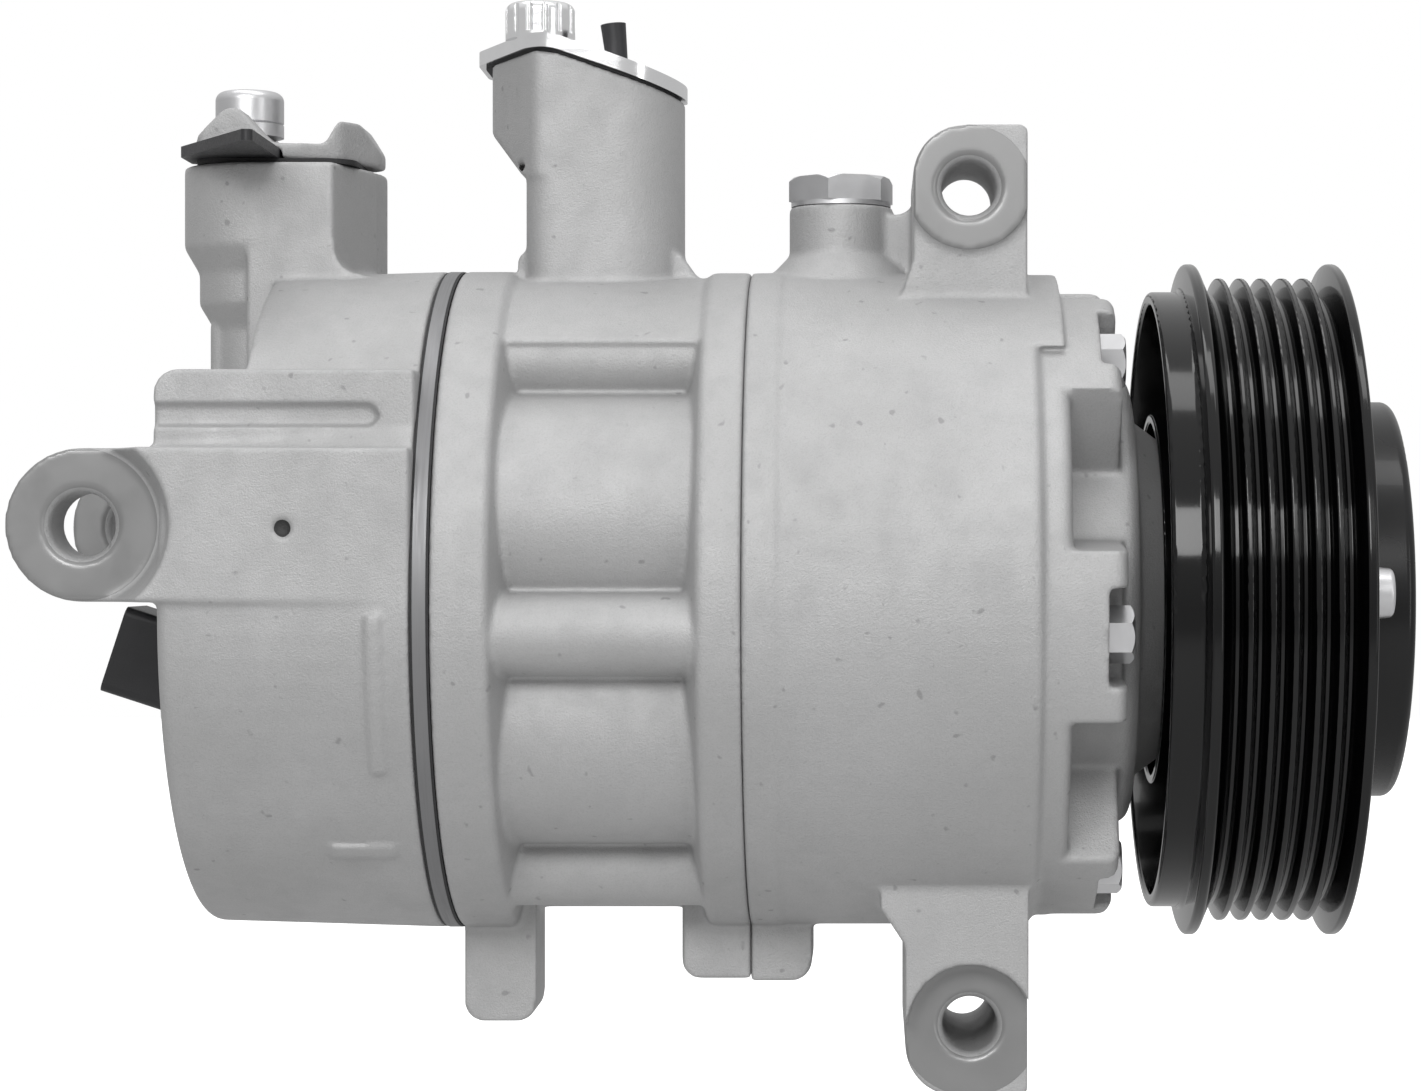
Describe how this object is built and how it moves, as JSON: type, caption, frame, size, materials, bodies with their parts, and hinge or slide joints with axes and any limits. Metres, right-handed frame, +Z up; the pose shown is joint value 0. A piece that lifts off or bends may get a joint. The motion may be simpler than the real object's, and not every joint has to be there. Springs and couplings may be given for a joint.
{
  "type": "automotive air-conditioning compressor",
  "caption": "Variable-displacement air-conditioning compressor with ribbed belt pulley, damper hub, cast body, side lugs and a suction tower.",
  "frame": {"origin": "on the shaft axis at the middle of the belt track", "axes": "+X along the shaft out of the nose, +Z up, -Y towards the faces of the mounting lugs"},
  "size_m": [0.2242, 0.114, 0.1824],
  "materials": {
    "cast_aluminium": "fine blasted casting",
    "gasket_rubber": "matt",
    "plate_steel": "ground",
    "zinc_steel": "bright zinc",
    "chrome_plate": "bright plated",
    "black_plastic": "fine moulded grain",
    "pulley_paint": "gloss black coat",
    "hub_paint": "satin black coat",
    "damper_rubber": "matt",
    "bearing_steel": "ground and polished",
    "seal_rubber": "matt",
    "cage_nylon": "moulded",
    "piston_alloy": "turned",
    "plate_iron": "ground",
    "shoe_steel": "polished",
    "pin_brass": "tinned brass",
    "valve_steel": "turned"
  },
  "bodies": {
    "housing": {"front_housing": "cast_aluminium", "cylinder_block": "cast_aluminium", "muffler_tower": "cast_aluminium", "rear_head": "cast_aluminium", "valve_plate": "plate_steel", "suction_valve_disc": "plate_steel", "front_gasket": "gasket_rubber", "rear_gasket": "gasket_rubber", "discharge_reed": "plate_steel", "reed_retainer": "plate_steel", "reed_rivet": "plate_steel", "through_bolts": "zinc_steel", "oil_plug": "zinc_steel", "oil_plug_washer": "zinc_steel", "tower_gasket": "gasket_rubber", "tower_cover": "chrome_plate", "cover_knob": "chrome_plate", "cover_pin": "black_plastic", "port_seal": "gasket_rubber", "port_clamp": "cast_aluminium", "port_cap": "zinc_steel", "port_tab": "black_plastic", "control_valve": "valve_steel", "valve_connector": "black_plastic", "connector_pins": "pin_brass", "front_radial_bearing": "bearing_steel", "rear_radial_bearing": "bearing_steel", "shaft_seal": "seal_rubber", "bearing_inner_ring": "bearing_steel", "bearing_retaining_ring": "bearing_steel"},
    "rotor": {"pulley": "pulley_paint", "bearing_outer_ring": "bearing_steel", "bearing_seals": "seal_rubber", "hub_cup": "hub_paint", "damper_rubber": "damper_rubber", "hub_boss": "hub_paint", "hub_rivets": "zinc_steel", "hub_nut": "zinc_steel", "drive_shaft": "bearing_steel", "lug_plate": "plate_iron", "thrust_bearing": "bearing_steel"},
    "bearing_set": {"bearing_balls": "bearing_steel", "bearing_cage": "cage_nylon"},
    "swash_plate": {"swash_plate": "plate_iron"},
    "piston_1": {"piston_1": "piston_alloy"},
    "shoes_1": {"shoes_1": "shoe_steel"},
    "piston_2": {"piston_2": "piston_alloy"},
    "shoes_2": {"shoes_2": "shoe_steel"},
    "piston_3": {"piston_3": "piston_alloy"},
    "shoes_3": {"shoes_3": "shoe_steel"},
    "piston_4": {"piston_4": "piston_alloy"},
    "shoes_4": {"shoes_4": "shoe_steel"},
    "piston_5": {"piston_5": "piston_alloy"},
    "shoes_5": {"shoes_5": "shoe_steel"},
    "piston_6": {"piston_6": "piston_alloy"},
    "shoes_6": {"shoes_6": "shoe_steel"}
  },
  "joints": [
    {"name": "rotor_spin", "type": "hinge", "parent": "housing", "child": "rotor", "pos_m": [0, 0, 0], "axis": [1, 0, 0], "continuous": true},
    {"name": "bearing_set_spin", "type": "hinge", "parent": "housing", "child": "bearing_set", "pos_m": [0, 0, 0], "axis": [1, 0, 0], "continuous": true},
    {"name": "plate_tilt", "type": "hinge", "parent": "housing", "child": "swash_plate", "pos_m": [-0.082, -0.00314, 0.02984], "axis": [0, -0.9945, -0.1045], "range_deg": [0, 15]},
    {"name": "piston_1_stroke", "type": "slide", "parent": "housing", "child": "piston_1", "axis": [1, 0, 0], "range_m": [0, 0.0036]},
    {"name": "shoes_1_rock", "type": "hinge", "parent": "piston_1", "child": "shoes_1", "pos_m": [-0.082, -0.03015, 0.01342], "axis": [0, -0.9945, -0.1045], "range_deg": [0, 15]},
    {"name": "piston_2_stroke", "type": "slide", "parent": "housing", "child": "piston_2", "axis": [1, 0, 0], "range_m": [-0.0008001, 0]},
    {"name": "shoes_2_rock", "type": "hinge", "parent": "piston_2", "child": "shoes_2", "pos_m": [-0.082, -0.00345, 0.03282], "axis": [0, -0.9945, -0.1045], "range_deg": [0, 15]},
    {"name": "piston_3_stroke", "type": "slide", "parent": "housing", "child": "piston_3", "axis": [1, 0, 0], "range_m": [0, 0.0036]},
    {"name": "shoes_3_rock", "type": "hinge", "parent": "piston_3", "child": "shoes_3", "pos_m": [-0.082, 0.0267, 0.0194], "axis": [0, -0.9945, -0.1045], "range_deg": [0, 15]},
    {"name": "piston_4_stroke", "type": "slide", "parent": "housing", "child": "piston_4", "axis": [1, 0, 0], "range_m": [0, 0.01239]},
    {"name": "shoes_4_rock", "type": "hinge", "parent": "piston_4", "child": "shoes_4", "pos_m": [-0.082, 0.03015, -0.01342], "axis": [0, -0.9945, -0.1045], "range_deg": [0, 15]},
    {"name": "piston_5_stroke", "type": "slide", "parent": "housing", "child": "piston_5", "axis": [1, 0, 0], "range_m": [0, 0.01678]},
    {"name": "shoes_5_rock", "type": "hinge", "parent": "piston_5", "child": "shoes_5", "pos_m": [-0.082, 0.00345, -0.03282], "axis": [0, -0.9945, -0.1045], "range_deg": [0, 15]},
    {"name": "piston_6_stroke", "type": "slide", "parent": "housing", "child": "piston_6", "axis": [1, 0, 0], "range_m": [0, 0.01239]},
    {"name": "shoes_6_rock", "type": "hinge", "parent": "piston_6", "child": "shoes_6", "pos_m": [-0.082, -0.0267, -0.0194], "axis": [0, -0.9945, -0.1045], "range_deg": [0, 15]}
  ],
  "couplings": [
    {"joint": "bearing_set_spin", "follows": "rotor_spin", "ratio": 0.57111},
    {"joint": "piston_1_stroke", "follows": "plate_tilt", "m_per_rad": 0.013736},
    {"joint": "shoes_1_rock", "follows": "plate_tilt", "ratio": 1},
    {"joint": "piston_2_stroke", "follows": "plate_tilt", "m_per_rad": -0.0030525},
    {"joint": "shoes_2_rock", "follows": "plate_tilt", "ratio": 1},
    {"joint": "piston_3_stroke", "follows": "plate_tilt", "m_per_rad": 0.013736},
    {"joint": "shoes_3_rock", "follows": "plate_tilt", "ratio": 1},
    {"joint": "piston_4_stroke", "follows": "plate_tilt", "m_per_rad": 0.047314},
    {"joint": "shoes_4_rock", "follows": "plate_tilt", "ratio": 1},
    {"joint": "piston_5_stroke", "follows": "plate_tilt", "m_per_rad": 0.064103},
    {"joint": "shoes_5_rock", "follows": "plate_tilt", "ratio": 1},
    {"joint": "piston_6_stroke", "follows": "plate_tilt", "m_per_rad": 0.047314},
    {"joint": "shoes_6_rock", "follows": "plate_tilt", "ratio": 1}
  ]
}
